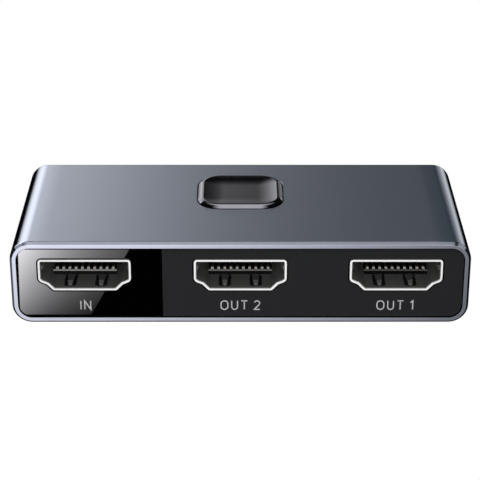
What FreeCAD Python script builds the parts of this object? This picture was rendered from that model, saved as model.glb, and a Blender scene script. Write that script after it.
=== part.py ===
import FreeCAD
import Part
import math
import os

# A two-way HDMI switch: three sockets in the front, one push button in the top.
# All sizes are in millimetres. X runs along the row of sockets, the front faces -Y and +Z is up.
# The origin is the middle of the underside.
# The case is one extruded aluminium sleeve, closed at each end by a frame that is screwed into
# the sleeve's corner channels and covered by a bonded panel. The circuit board slides in rails
# in the sleeve's sides, and carries the sockets, the push switch and the chips.

Vector = FreeCAD.Vector
UP = Vector(0, 0, 1)
BACKWARD = Vector(0, 1, 0)

# Sockets: the standard 19-contact receptacle, seen from the front
PORT_NAMES = ("input", "output_2", "output_1")
PORT_PITCH = 25.0
SOCKET_WIDTH = 14.0
SOCKET_HEIGHT = 4.55
SOCKET_SIDE_HEIGHT = 3.05
SOCKET_SHOULDER_RUN = 1.15
SOCKET_SHOULDER_DROP = 0.5
SOCKET_FOOT_WIDTH = 9.78
SOCKET_CORNER_RADIUS = 0.15
SOCKET_SIDE_CORNER_RADIUS = 0.35
SOCKET_SHOULDER_RADIUS = 0.8
SHELL_THICKNESS = 0.3
SHELL_LENGTH = 11.1
LIP_THICKNESS = 0.47
LIP_LENGTH = 0.8
LIP_OUTER_EDGE = 0.04
LIP_INNER_EDGE = 0.13
SHELL_LEG_WIDTH = 1.0
SHELL_LEG_BELOW_BOARD = 0.6
SHELL_LEG_FRONT_SETBACK = 1.9
SHELL_LEG_SPACING = 4.3
LEG_HOLE_CLEARANCE = 0.15

# Sprung fingers cut out of the shell's floor, roof and sides
FINGER_WIDTH = 1.65
FINGER_TIP_WIDTH = 0.65
FINGER_WINDOW_WIDTH = 2.0
FINGER_WINDOW_RADIUS = 0.5
FINGER_TIP_GAP = 0.5
FINGER_LENGTH = 5.0
FINGER_SPACING = 5.0
FINGER_RISE = 0.35
FINGER_BEND_SETBACK = 0.95
FINGER_TIP_DROP = 0.25
FINGER_SETBACK = 1.25
SIDE_FINGER_WIDTH = 0.8
SIDE_FINGER_LENGTH = 2.6
SIDE_FINGER_SLOT = 0.4

# Insulator with its tongue, and the contacts on the tongue
TONGUE_WIDTH = 10.2
TONGUE_THICKNESS = 0.9
TONGUE_SETBACK = 1.35
TONGUE_BELOW_MIDDLE = 0.11
TONGUE_NOSE_RUN = 0.16
TONGUE_NOSE_DROP = 0.22
INSULATOR_BLOCK_LENGTH = 3.0
INSULATOR_CLEARANCE = 0.03
CONTACT_PITCH = 1.0
UPPER_CONTACTS = 10
LOWER_CONTACTS = 9
CONTACT_WIDTH = 0.4
CONTACT_THICKNESS = 0.15
CONTACT_PROUD = 0.03
CONTACT_SETBACK = 0.4
TAIL_GAP = 0.2
TAIL_STAGGER = 0.4
TAIL_FOOT_LENGTH = 0.55

# Case
WALL = 1.0
CORNER_RADIUS = 3.2
EDGE_CHAMFER = 0.4
EDGE_EASE_DROP = 0.03
EDGE_EASE_RUN = 0.2
SIDE_MARGIN = 4.45
UNDER_BOARD_GAP = 3.8
HEADROOM = 2.25
BOARD_THICKNESS = 1.2
BUTTON_SETBACK = 13.25
BUTTON_REAR_MARGIN = 5.9

# End closures, from the outside in
PANEL_RECESS = 0.3
PANEL_THICKNESS = 1.0
ADHESIVE_THICKNESS = 0.15
ADHESIVE_MARGIN = 0.6
FRAME_THICKNESS = 2.0
END_CLEARANCE = 0.15
LIP_RECESS = 0.2
PANEL_PORT_CLEARANCE = 0.23
FRAME_PORT_CLEARANCE = 0.1
ADHESIVE_PORT_CLEARANCE = 0.45

# Screws and the channels that they bite into
SCREW_HEAD_RADIUS = 1.35
SCREW_HEAD_THICKNESS = 0.65
SCREW_HEAD_SINK = 0.1
SCREW_HEAD_CLEARANCE = 0.1
SCREW_SHANK_RADIUS = 0.75
SCREW_LENGTH = 6.0
SCREW_POINT_LENGTH = 0.6
SCREW_HOLE_CLEARANCE = 0.1
SCREW_EDGE_MARGIN = 0.1
DRIVE_SLOT_LENGTH = 1.5
DRIVE_SLOT_WIDTH = 0.35
DRIVE_SLOT_DEPTH = 0.35
CHANNEL_WALL = 0.7
CHANNEL_BORE_CLEARANCE = 0.04
CHANNEL_SLIT = 0.7

# Board rails in the sleeve's sides
RAIL_DEPTH = 1.2
RAIL_THICKNESS = 0.8
BOARD_SIDE_CLEARANCE = 0.2
BOARD_TOP_CLEARANCE = 0.1
BOARD_END_CLEARANCE = 0.05

# Button
BUTTON_WIDTH = 14.15
BUTTON_DEPTH = 13.65
BUTTON_RADIUS = 3.85
BUTTON_GAP = 0.2
BUTTON_PROUD = 0.58
# The bevel is three bands, from the outer edge in
BUTTON_BEVEL_RUNS = (0.35, 0.25, 0.25)
BUTTON_BEVEL_RISES = (0.35, 0.117, 0.044)
BUTTON_RIM_LAND = 0.06
BUTTON_TRAVEL = 0.35
DISH_DEPTH = 0.43
DISH_RUN = 3.3
DISH_BANDS = 11
CAP_THICKNESS = 1.1
CAP_SKIRT = 1.0
CAP_FLANGE = 0.7
CAP_FLANGE_THICKNESS = 0.8
CAP_STOP_GAP = 0.05
CAP_BOSS_RADIUS = 2.1
CAP_RIB_THICKNESS = 0.8
CAP_RIB_HEIGHT = 0.7
RETAINER_WALL = 0.6
RETAINER_LEDGE_THICKNESS = 0.6
RETAINER_SIDE_CLEARANCE = 0.15
RETAINER_OVERTRAVEL = 0.1
OPENING_CHAMFER = 0.06

# Push switch under the button
SWITCH_SIZE = 6.0
SWITCH_HEIGHT = 5.0
SWITCH_BASE_HEIGHT = 3.2
SWITCH_FLOOR_HEIGHT = 1.4
SWITCH_WELL_RADIUS = 2.3
SWITCH_COVER_THICKNESS = 0.3
SWITCH_STEM_RADIUS = 1.7
SWITCH_STEM_CLEARANCE = 0.15
SWITCH_FLANGE_CLEARANCE = 0.2
SWITCH_FLANGE_THICKNESS = 0.9
SWITCH_NUB_RADIUS = 0.8
SWITCH_TOP_PLAY = 0.05
SWITCH_PEG_RADIUS = 0.4
SWITCH_PEG_CLEARANCE = 0.05
SWITCH_PEG_PROUD = 0.12
SWITCH_PEG_INSET = 0.55
SWITCH_CORNER_RADIUS = 0.3
DOME_THICKNESS = 0.1
DOME_RISE = 0.45
DOME_CLEARANCE = 0.1
TERMINAL_WIDTH = 0.7
TERMINAL_THICKNESS = 0.2
TERMINAL_OFFSET = 1.95
TERMINAL_STAND_OFF = 0.3
TERMINAL_FOOT_LENGTH = 1.0
TERMINAL_STEP = 0.3
CENTRE_PAD_RADIUS = 0.5

# Indicator lamps on the board's front edge, and the clear rods that carry their light
LAMP_WIDTH = 1.6
LAMP_DEPTH = 0.8
LAMP_HEIGHT = 1.3
LAMP_OFFSET = 10.6
LAMP_GAP = 0.1
LIGHT_ROD_RADIUS = 0.6
LIGHT_ROD_CLEARANCE = 0.05

# Chips and small parts on the board
MUX_SIZE = 7.0
MUX_THICKNESS = 0.85
MUX_X = -14.0
MUX_PADS_PER_SIDE = 12
MUX_PAD_WIDTH = 0.25
MUX_PAD_REACH = 0.35
MUX_PAD_THICKNESS = 0.12
LOGIC_LENGTH = 4.9
LOGIC_WIDTH = 3.9
LOGIC_THICKNESS = 1.4
LOGIC_X = 14.0
LOGIC_LEADS_PER_SIDE = 4
LOGIC_LEAD_PITCH = 1.27
LOGIC_LEAD_WIDTH = 0.42
LOGIC_LEAD_REACH = 0.9
LOGIC_STAND_OFF = 0.12
LEAD_THICKNESS = 0.2
CLAMP_LENGTH = 2.5
CLAMP_WIDTH = 1.0
CLAMP_THICKNESS = 0.55
CLAMPS_PER_PORT = 4
CLAMP_SETBACK = 1.0
CLAMP_GAP = 0.6
CHIP_LENGTH = 1.6
CHIP_WIDTH = 0.8
CAPACITOR_HEIGHT = 0.8
RESISTOR_HEIGHT = 0.45
CHIP_ROW_SPACING = 1.6
CHIP_COUNT = 5
CAPACITOR_GAP = 0.8
RESISTOR_GAP = 3.2

# Sizes worked out from the ones above
CASE_WIDTH = PORT_PITCH * (len(PORT_NAMES) - 1) + SOCKET_WIDTH + 2 * LIP_THICKNESS + 2 * SIDE_MARGIN
BOARD_BOTTOM = WALL + UNDER_BOARD_GAP
BOARD_TOP = BOARD_BOTTOM + BOARD_THICKNESS
SOCKET_Z = BOARD_TOP + SHELL_THICKNESS + SOCKET_HEIGHT / 2
TONGUE_Z = SOCKET_Z - TONGUE_BELOW_MIDDLE
CASE_HEIGHT = SOCKET_Z + SOCKET_HEIGHT / 2 + SHELL_THICKNESS + HEADROOM + WALL
CASE_DEPTH = BUTTON_SETBACK + BUTTON_DEPTH + BUTTON_REAR_MARGIN
FRONT = -CASE_DEPTH / 2
REAR = CASE_DEPTH / 2
INNER_TOP = CASE_HEIGHT - WALL
PANEL_BACK = PANEL_RECESS + PANEL_THICKNESS
FRAME_FRONT = PANEL_BACK + ADHESIVE_THICKNESS
END_DEPTH = FRAME_FRONT + FRAME_THICKNESS
BUTTON_Y = FRONT + BUTTON_SETBACK + BUTTON_DEPTH / 2
MOUTH_Y = FRONT + LIP_RECESS
BOARD_WIDTH = CASE_WIDTH - 2 * WALL - 2 * BOARD_SIDE_CLEARANCE
BOARD_FRONT = FRONT + END_DEPTH + BOARD_END_CLEARANCE
BOARD_REAR = REAR - END_DEPTH - BOARD_END_CLEARANCE
CHANNEL_BORE = SCREW_SHANK_RADIUS + CHANNEL_BORE_CLEARANCE
CHANNEL_RADIUS = CHANNEL_BORE + CHANNEL_WALL
SCREW_INSET = WALL + END_CLEARANCE + SCREW_HEAD_RADIUS + SCREW_HEAD_CLEARANCE + SCREW_EDGE_MARGIN
SWITCH_TOP = BOARD_TOP + SWITCH_HEIGHT
SWITCH_FLOOR = BOARD_TOP + SWITCH_FLOOR_HEIGHT
SWITCH_BASE_TOP = BOARD_TOP + SWITCH_BASE_HEIGHT
DOME_RADIUS = SWITCH_WELL_RADIUS - DOME_CLEARANCE
DOME_TOP = SWITCH_FLOOR + DOME_RISE + DOME_THICKNESS
BUTTON_BEVEL_RUN = sum(BUTTON_BEVEL_RUNS)
CAP_FLANGE_TOP = INNER_TOP - CAP_STOP_GAP
CAP_FLANGE_BOTTOM = CAP_FLANGE_TOP - CAP_FLANGE_THICKNESS
SHELL_REAR = MOUTH_Y + SHELL_LENGTH

# Small lengths that only help the solids to join and cut cleanly
SMALLEST_RADIUS = 0.05
LARGEST_CORNER_SHARE = 0.45
OVERLAP = 0.1
BEYOND = 1.0


def rectangle(width, height, x=0.0, y=0.0):
    """Corners of a rectangle centred on x, y, anticlockwise."""
    a, b = width / 2, height / 2
    return [(x + a, y + b), (x - a, y + b), (x - a, y - b), (x + a, y - b)]


def grow(points, distance):
    """The anticlockwise polygon with each side moved outwards by distance."""
    sides = []
    for (ax, ay), (bx, by) in zip(points, points[1:] + points[:1]):
        length = math.hypot(bx - ax, by - ay)
        dx, dy = (bx - ax) / length, (by - ay) / length
        sides.append((ax + dy * distance, ay - dx * distance, dx, dy))
    grown = []
    for (px, py, pdx, pdy), (qx, qy, qdx, qdy) in zip(sides[-1:] + sides[:-1], sides):
        along = ((qx - px) * qdy - (qy - py) * qdx) / (pdx * qdy - pdy * qdx)
        grown.append((px + along * pdx, py + along * pdy))
    return grown


def rounded_wire(points, radii, lift):
    """A closed wire round the polygon, each corner an arc of its own radius. lift turns x, y into a point."""
    ends = []
    for i, (x, y) in enumerate(points):
        px, py = points[i - 1]
        nx, ny = points[(i + 1) % len(points)]
        to_p, to_n = math.hypot(px - x, py - y), math.hypot(nx - x, ny - y)
        ux, uy = (px - x) / to_p, (py - y) / to_p
        vx, vy = (nx - x) / to_n, (ny - y) / to_n
        half = math.acos(max(-1.0, min(1.0, ux * vx + uy * vy))) / 2
        largest = LARGEST_CORNER_SHARE * min(to_p, to_n) * math.tan(half)
        radius = min(max(radii[i], SMALLEST_RADIUS), largest)
        reach = radius / math.tan(half)
        bx, by = ux + vx, uy + vy
        across = math.hypot(bx, by)
        to_arc = radius / math.sin(half) - radius
        start = (x + ux * reach, y + uy * reach)
        middle = (x + bx / across * to_arc, y + by / across * to_arc)
        end = (x + vx * reach, y + vy * reach)
        ends.append([lift(*p) for p in (start, middle, end)])
    edges = []
    for (start, middle, end), (following, _, _) in zip(ends, ends[1:] + ends[:1]):
        edges.append(Part.Arc(start, middle, end).toShape())
        edges.append(Part.LineSegment(end, following).toShape())
    return Part.Wire(edges)


def standing_prism(points, radius, y_from, y_to):
    """A solid whose outline lies in X and Z, run from y_from to y_to."""
    radii = radius if isinstance(radius, list) else [radius] * len(points)
    wire = rounded_wire(points, radii, lambda x, z: Vector(x, y_from, z))
    return Part.Face(wire).extrude(BACKWARD * (y_to - y_from))


def flat_prism(points, radius, z_from, z_to):
    """A solid whose outline lies in X and Y, run from z_from to z_to."""
    radii = radius if isinstance(radius, list) else [radius] * len(points)
    wire = rounded_wire(points, radii, lambda x, y: Vector(x, y, z_from))
    return Part.Face(wire).extrude(UP * (z_to - z_from))


def box(x_from, x_to, y_from, y_to, z_from, z_to):
    return Part.makeBox(x_to - x_from, y_to - y_from, z_to - z_from, Vector(x_from, y_from, z_from))


def strip(points, x_from, x_to):
    """A flat strip whose bent side outline, a list of y, z points, runs from x_from to x_to."""
    corners = [Vector(x_from, y, z) for y, z in points]
    return Part.Face(Part.makePolygon(corners + corners[:1])).extrude(Vector(x_to - x_from, 0, 0))


def join(solids):
    """One solid of several that touch or overlap."""
    return solids[0].multiFuse(solids[1:]).removeSplitter() if len(solids) > 1 else solids[0]


def save(name, shape):
    """Writes a node's STEP file, with one closed solid for each piece."""
    solids = shape.Solids
    assert solids and all(s.isValid() and s.isClosed() for s in solids), name
    (solids[0] if len(solids) == 1 else Part.makeCompound(solids)).exportStep(f"parts/{name}.step")


def port_x(index):
    return (index - (len(PORT_NAMES) - 1) / 2) * PORT_PITCH


def socket_outline(growth, x):
    """Corners and radii of the socket's outline round x, moved outwards by growth."""
    half, top = SOCKET_WIDTH / 2, SOCKET_HEIGHT / 2
    side = top - SOCKET_SIDE_HEIGHT
    shoulder = (half - SOCKET_SHOULDER_RUN, side - SOCKET_SHOULDER_DROP)
    foot = SOCKET_FOOT_WIDTH / 2
    right = [(foot, -top), shoulder, (half, side), (half, top)]
    left = [(-px, pz) for px, pz in reversed(right)]
    points = [(x + px, SOCKET_Z + pz) for px, pz in grow(right + left, growth)]
    corner = SOCKET_CORNER_RADIUS + growth
    side_corner = SOCKET_SIDE_CORNER_RADIUS + growth
    shoulder_corner = SOCKET_SHOULDER_RADIUS - growth
    radii = [corner, shoulder_corner, side_corner, corner]
    return points, radii + radii[::-1]


def socket_prism(growth, x, y_from, y_to):
    points, radii = socket_outline(growth, x)
    return standing_prism(points, radii, y_from, y_to)


def socket_taper(x, front_growth, rear_growth):
    """The lip's bevelled edge: the socket's outline, growing or shrinking behind the mouth."""
    wires = []
    for growth, y in ((front_growth, MOUTH_Y), (rear_growth, MOUTH_Y + abs(rear_growth - front_growth))):
        points, radii = socket_outline(growth, x)
        wires.append(rounded_wire(points, radii, lambda px, z: Vector(px, y, z)))
    return Part.makeLoft(wires, True, True)


def case_section(inset):
    """Corners and radius of the sleeve's section, moved inwards by inset."""
    points = rectangle(CASE_WIDTH - 2 * inset, CASE_HEIGHT - 2 * inset, 0, CASE_HEIGHT / 2)
    return points, max(CORNER_RADIUS - inset, SMALLEST_RADIUS)


def screw_places():
    """The four screw positions, as x, z."""
    x = CASE_WIDTH / 2 - SCREW_INSET
    return [(sx * x, z) for sx in (-1, 1) for z in (SCREW_INSET, CASE_HEIGHT - SCREW_INSET)]


def button_outline(growth):
    """Corners and radius of the button's outline from above, moved outwards by growth."""
    points = rectangle(BUTTON_WIDTH + 2 * growth, BUTTON_DEPTH + 2 * growth, 0, BUTTON_Y)
    return points, max(BUTTON_RADIUS + growth, SMALLEST_RADIUS)


def button_prism(growth, z_from, z_to):
    return flat_prism(*button_outline(growth), z_from, z_to)


def button_wire(growth, z):
    points, radius = button_outline(growth)
    return rounded_wire(points, [radius] * len(points), lambda x, y: Vector(x, y, z))


def standing_wire(inset, y):
    points, radius = case_section(inset)
    return rounded_wire(points, [radius] * len(points), lambda x, z: Vector(x, y, z))


def tube_round(x, z, radius, y_from, y_to):
    return Part.makeCylinder(radius, y_to - y_from, Vector(x, y_from, z), BACKWARD)


# Case

def housing_sleeve():
    """The extruded sleeve: chamfered ends, screw channels, board rails and the button's opening."""
    eased = EDGE_CHAMFER + EDGE_EASE_RUN
    body = standing_prism(*case_section(0), FRONT + eased, REAR - eased)
    ends = []
    for y_of in (front_y, rear_y):
        wires = [
            standing_wire(EDGE_CHAMFER + EDGE_EASE_DROP, y_of(0)),
            standing_wire(EDGE_EASE_DROP, y_of(EDGE_CHAMFER)),
            standing_wire(0, y_of(eased)),
        ]
        ends.append(Part.makeLoft(wires, True, True))
    body = join([body] + ends)
    body = body.cut(standing_prism(*case_section(WALL), FRONT, REAR))
    inside = standing_prism(*case_section(WALL / 2), FRONT + END_DEPTH, REAR - END_DEPTH)
    ribs = []
    for x, z in screw_places():
        ribs.append(channel(x, z).common(inside))
    for side in (-1, 1):
        ribs += rails(side)
    body = join([body] + ribs)
    for x, z in screw_places():
        slit_end = x - math.copysign(CHANNEL_RADIUS + OVERLAP, x)
        low, high = sorted((x, slit_end))
        half = CHANNEL_SLIT / 2
        body = body.cut(tube_round(x, z, CHANNEL_BORE, FRONT, REAR))
        body = body.cut(box(low, high, FRONT, REAR, z - half, z + half))
    opening = button_prism(BUTTON_GAP, INNER_TOP - WALL, CASE_HEIGHT + WALL)
    edge = [button_wire(BUTTON_GAP, CASE_HEIGHT - OPENING_CHAMFER)]
    edge.append(button_wire(BUTTON_GAP + OPENING_CHAMFER, CASE_HEIGHT))
    return body.cut(opening).cut(Part.makeLoft(edge, True, True))


def channel(x, z):
    """A screw channel and the web that ties it into the sleeve's corner."""
    y_from, y_to = FRONT + END_DEPTH, REAR - END_DEPTH
    corner_x = math.copysign(CASE_WIDTH / 2 - WALL / 2, x)
    corner_z = WALL / 2 if z < CASE_HEIGHT / 2 else CASE_HEIGHT - WALL / 2
    low_x, high_x = sorted((x, corner_x))
    low_z, high_z = sorted((z, corner_z))
    web = box(low_x, high_x, y_from, y_to, low_z, high_z)
    return join([tube_round(x, z, CHANNEL_RADIUS, y_from, y_to), web])


def rails(side):
    """The two ribs that hold the board's edge on one side."""
    inner = CASE_WIDTH / 2 - WALL
    low, high = sorted((side * (inner - RAIL_DEPTH), side * (inner + WALL / 2)))
    upper = BOARD_TOP + BOARD_TOP_CLEARANCE
    heights = [(BOARD_BOTTOM - RAIL_THICKNESS, BOARD_BOTTOM), (upper, upper + RAIL_THICKNESS)]
    return [box(low, high, FRONT + END_DEPTH, REAR - END_DEPTH, a, b) for a, b in heights]


# End closures. y_of turns a distance behind the outer face into a Y position.

def end_slab(y_of, inset, outer, inner):
    low, high = sorted((y_of(outer), y_of(inner)))
    return standing_prism(*case_section(inset), low, high)


def front_y(distance):
    return FRONT + distance


def rear_y(distance):
    return REAR - distance


def lamp_places():
    """X positions of the two lamps, one beside each output socket."""
    return [port_x(i) - LAMP_OFFSET for i, name in enumerate(PORT_NAMES) if name != "input"]


def lamp_z():
    return BOARD_TOP + LAMP_HEIGHT / 2


def end_panel(y_of, with_ports):
    panel = end_slab(y_of, WALL + END_CLEARANCE, PANEL_RECESS, PANEL_BACK)
    if with_ports:
        for i in range(len(PORT_NAMES)):
            growth = LIP_THICKNESS + PANEL_PORT_CLEARANCE
            panel = panel.cut(socket_prism(growth, port_x(i), FRONT, FRONT + END_DEPTH))
    return panel


def end_adhesive(y_of, with_ports):
    sheet = end_slab(y_of, WALL + ADHESIVE_MARGIN, PANEL_BACK, FRAME_FRONT)
    if with_ports:
        for i in range(len(PORT_NAMES)):
            growth = LIP_THICKNESS + ADHESIVE_PORT_CLEARANCE
            sheet = sheet.cut(socket_prism(growth, port_x(i), FRONT, FRONT + END_DEPTH))
        for x in lamp_places():
            window = LIGHT_ROD_RADIUS + LIGHT_ROD_CLEARANCE
            sheet = sheet.cut(tube_round(x, lamp_z(), window, FRONT, FRONT + END_DEPTH))
    return sheet


def end_frame(y_of, with_ports):
    frame = end_slab(y_of, WALL + END_CLEARANCE, FRAME_FRONT, END_DEPTH)
    seat = FRAME_FRONT + SCREW_HEAD_SINK + SCREW_HEAD_THICKNESS
    for x, z in screw_places():
        low, high = sorted((y_of(FRAME_FRONT - BEYOND), y_of(END_DEPTH + BEYOND)))
        frame = frame.cut(tube_round(x, z, SCREW_SHANK_RADIUS + SCREW_HOLE_CLEARANCE, low, high))
        low, high = sorted((y_of(FRAME_FRONT - BEYOND), y_of(seat)))
        frame = frame.cut(tube_round(x, z, SCREW_HEAD_RADIUS + SCREW_HEAD_CLEARANCE, low, high))
    if with_ports:
        for i in range(len(PORT_NAMES)):
            growth = SHELL_THICKNESS + FRAME_PORT_CLEARANCE
            frame = frame.cut(socket_prism(growth, port_x(i), FRONT, FRONT + END_DEPTH + BEYOND))
        for x in lamp_places():
            hole = LIGHT_ROD_RADIUS + LIGHT_ROD_CLEARANCE
            frame = frame.cut(tube_round(x, lamp_z(), hole, FRONT, FRONT + END_DEPTH + BEYOND))
    return frame


def end_screw(y_of, x, z):
    """A flat-headed screw with a cross recess, head outwards."""
    inward = BACKWARD if y_of(1) > y_of(0) else -BACKWARD
    top = FRAME_FRONT + SCREW_HEAD_SINK
    seat = top + SCREW_HEAD_THICKNESS
    head = Part.makeCylinder(SCREW_HEAD_RADIUS, SCREW_HEAD_THICKNESS, Vector(x, y_of(top), z), inward)
    plain = SCREW_LENGTH - SCREW_POINT_LENGTH
    shank = Part.makeCylinder(SCREW_SHANK_RADIUS, plain, Vector(x, y_of(seat), z), inward)
    point = Part.makeCone(
        SCREW_SHANK_RADIUS, SCREW_SHANK_RADIUS / 3, SCREW_POINT_LENGTH,
        Vector(x, y_of(seat + plain), z), inward,
    )
    screw = join([head, shank, point])
    low, high = sorted((y_of(top - OVERLAP), y_of(top + DRIVE_SLOT_DEPTH)))
    for across, along in ((DRIVE_SLOT_LENGTH, DRIVE_SLOT_WIDTH), (DRIVE_SLOT_WIDTH, DRIVE_SLOT_LENGTH)):
        screw = screw.cut(box(x - across / 2, x + across / 2, low, high, z - along / 2, z + along / 2))
    return screw


# Sockets

def shell(x):
    """The drawn metal shell with its lip, its board legs and its sprung fingers."""
    outer = socket_prism(SHELL_THICKNESS, x, MOUTH_Y + LIP_OUTER_EDGE, SHELL_REAR)
    lip = socket_prism(LIP_THICKNESS, x, MOUTH_Y + LIP_OUTER_EDGE, MOUTH_Y + LIP_LENGTH)
    nose = socket_taper(x, LIP_THICKNESS - LIP_OUTER_EDGE, LIP_THICKNESS)
    body = join([outer, lip, nose] + [shell_leg(x, side, y) for side in (-1, 1) for y in leg_places()])
    body = body.cut(socket_prism(0, x, MOUTH_Y, SHELL_REAR)).cut(socket_taper(x, LIP_INNER_EDGE, 0))
    floor = SOCKET_Z - SOCKET_HEIGHT / 2
    roof = SOCKET_Z + SOCKET_HEIGHT / 2
    fingers = []
    for centre in (x - FINGER_SPACING / 2, x + FINGER_SPACING / 2):
        for wall, outwards in ((floor, -1), (roof, 1)):
            body = body.cut(finger_window(centre, wall, outwards))
            fingers.append(finger(centre, wall, outwards))
    for side in (-1, 1):
        body = body.cut(side_window(x, side))
        fingers.append(side_finger(x, side))
    return join([body] + fingers)


def leg_places():
    """Y positions of the middles of a shell's legs."""
    first = BOARD_FRONT + SHELL_LEG_FRONT_SETBACK
    return [first, first + SHELL_LEG_SPACING]


def shell_leg(x, side, y):
    inner = x + side * SOCKET_WIDTH / 2
    low, high = sorted((inner, inner + side * SHELL_THICKNESS))
    top = SOCKET_Z + SOCKET_HEIGHT / 2 - SOCKET_SIDE_HEIGHT / 2
    half = SHELL_LEG_WIDTH / 2
    return box(low, high, y - half, y + half, BOARD_BOTTOM - SHELL_LEG_BELOW_BOARD, top)


def finger_plan(centre, root_width, front_width, radius, front, root):
    """Corners and radii, from above, of a finger or of the hole round it: radius rounds the front."""
    half = root_width / 2
    half_front = front_width / 2
    points = [(centre + half, root), (centre - half, root)]
    points += [(centre - half_front, front), (centre + half_front, front)]
    return points, [SMALLEST_RADIUS, SMALLEST_RADIUS, radius, radius]


def finger_window(centre, wall, outwards):
    """The hole that a finger leaves in the floor or roof. wall is the inner face's height."""
    width = FINGER_WINDOW_WIDTH
    tip = MOUTH_Y + FINGER_SETBACK
    front = tip - FINGER_TIP_GAP
    points, radii = finger_plan(centre, width, width, FINGER_WINDOW_RADIUS, front, tip + FINGER_LENGTH)
    low, high = sorted((wall - outwards * FINGER_RISE, wall + outwards * (SHELL_THICKNESS + OVERLAP)))
    return flat_prism(points, radii, low, high)


def finger_side(wall, outwards, length):
    """The finger's side outline as y, height: rooted at the back, bent inwards, its tip turned back out."""
    tip = MOUTH_Y + FINGER_SETBACK
    root = tip + length
    bend = tip + FINGER_BEND_SETBACK
    thick = outwards * SHELL_THICKNESS
    bent = wall - outwards * FINGER_RISE
    inner = [(root + OVERLAP, wall), (bend, bent), (tip, bent + outwards * FINGER_TIP_DROP)]
    outer = [(y, z + thick) for y, z in reversed(inner)]
    return inner + outer


def finger(centre, wall, outwards):
    half = FINGER_WIDTH / 2
    bent = strip(finger_side(wall, outwards, FINGER_LENGTH), centre - half, centre + half)
    tip = MOUTH_Y + FINGER_SETBACK
    root = tip + FINGER_LENGTH + BEYOND
    points, radii = finger_plan(centre, FINGER_WIDTH, FINGER_TIP_WIDTH, FINGER_TIP_WIDTH / 2, tip, root)
    return bent.common(flat_prism(points, radii, wall - BEYOND, wall + BEYOND))


def side_window(x, side):
    half = SIDE_FINGER_WIDTH / 2 + SIDE_FINGER_SLOT
    z = SOCKET_Z + SOCKET_HEIGHT / 2 - SOCKET_SIDE_HEIGHT / 2
    wall = x + side * SOCKET_WIDTH / 2
    low, high = sorted((wall - side * FINGER_RISE, wall + side * (SHELL_THICKNESS + OVERLAP)))
    front = MOUTH_Y + FINGER_SETBACK - SIDE_FINGER_SLOT
    return box(low, high, front, MOUTH_Y + FINGER_SETBACK + SIDE_FINGER_LENGTH, z - half, z + half)


def side_finger(x, side):
    z = SOCKET_Z + SOCKET_HEIGHT / 2 - SOCKET_SIDE_HEIGHT / 2
    half = SIDE_FINGER_WIDTH / 2
    outline = finger_side(x + side * SOCKET_WIDTH / 2, side, SIDE_FINGER_LENGTH)
    corners = [Vector(px, y, z - half) for y, px in outline]
    return Part.Face(Part.makePolygon(corners + corners[:1])).extrude(UP * SIDE_FINGER_WIDTH)


def insulator(x, contacts):
    """The moulded block at the back of the shell, with the tongue in front of it."""
    front = SHELL_REAR - INSULATOR_BLOCK_LENGTH
    block = socket_prism(-INSULATOR_CLEARANCE, x, front, SHELL_REAR)
    half = TONGUE_THICKNESS / 2
    nose = MOUTH_Y + TONGUE_SETBACK
    root = front + OVERLAP
    slope = half - TONGUE_NOSE_DROP
    flat = nose + TONGUE_NOSE_RUN
    side = [(nose, TONGUE_Z - slope), (flat, TONGUE_Z - half), (root, TONGUE_Z - half)]
    side += [(root, TONGUE_Z + half), (flat, TONGUE_Z + half), (nose, TONGUE_Z + slope)]
    tongue = strip(side, x - TONGUE_WIDTH / 2, x + TONGUE_WIDTH / 2)
    return join([block, tongue]).cut(Part.makeCompound(contacts))


def contact(x, side):
    """One contact: along the tongue, through the block and down to its foot on the board."""
    t = CONTACT_THICKNESS
    face = TONGUE_Z + side * (TONGUE_THICKNESS / 2 + CONTACT_PROUD)
    low, high = sorted((face, face - side * t))
    tip = MOUTH_Y + TONGUE_SETBACK + CONTACT_SETBACK
    drop = SHELL_REAR + TAIL_GAP + (TAIL_STAGGER if side > 0 else 0)
    foot = drop + t + TAIL_FOOT_LENGTH
    outline = [(tip, low), (drop, low), (drop, BOARD_TOP), (foot, BOARD_TOP)]
    outline += [(foot, BOARD_TOP + t), (drop + t, BOARD_TOP + t), (drop + t, high), (tip, high)]
    return strip(outline, x - CONTACT_WIDTH / 2, x + CONTACT_WIDTH / 2)


def contacts(x):
    made = []
    for side, count in ((1, UPPER_CONTACTS), (-1, LOWER_CONTACTS)):
        for i in range(count):
            made.append(contact(x + (i - (count - 1) / 2) * CONTACT_PITCH, side))
    return made


# Board and what is soldered to it

def main_board():
    board = box(-BOARD_WIDTH / 2, BOARD_WIDTH / 2, BOARD_FRONT, BOARD_REAR, BOARD_BOTTOM, BOARD_TOP)
    for i in range(len(PORT_NAMES)):
        for side in (-1, 1):
            for y in leg_places():
                board = board.cut(leg_hole(port_x(i), side, y))
    return board


def leg_hole(x, side, y):
    middle = x + side * (SOCKET_WIDTH + SHELL_THICKNESS) / 2
    half_x = SHELL_THICKNESS / 2 + LEG_HOLE_CLEARANCE
    half_y = SHELL_LEG_WIDTH / 2 + LEG_HOLE_CLEARANCE
    corners = rectangle(2 * half_x, 2 * half_y, middle, y)
    return flat_prism(corners, half_x, BOARD_BOTTOM - BEYOND, BOARD_TOP + BEYOND)


def chip_y():
    """Y of the row of chips, level with the push switch."""
    return BUTTON_Y


def mux_chip():
    return box(
        MUX_X - MUX_SIZE / 2, MUX_X + MUX_SIZE / 2, chip_y() - MUX_SIZE / 2, chip_y() + MUX_SIZE / 2,
        BOARD_TOP + MUX_PAD_THICKNESS, BOARD_TOP + MUX_PAD_THICKNESS + MUX_THICKNESS,
    )


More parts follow.
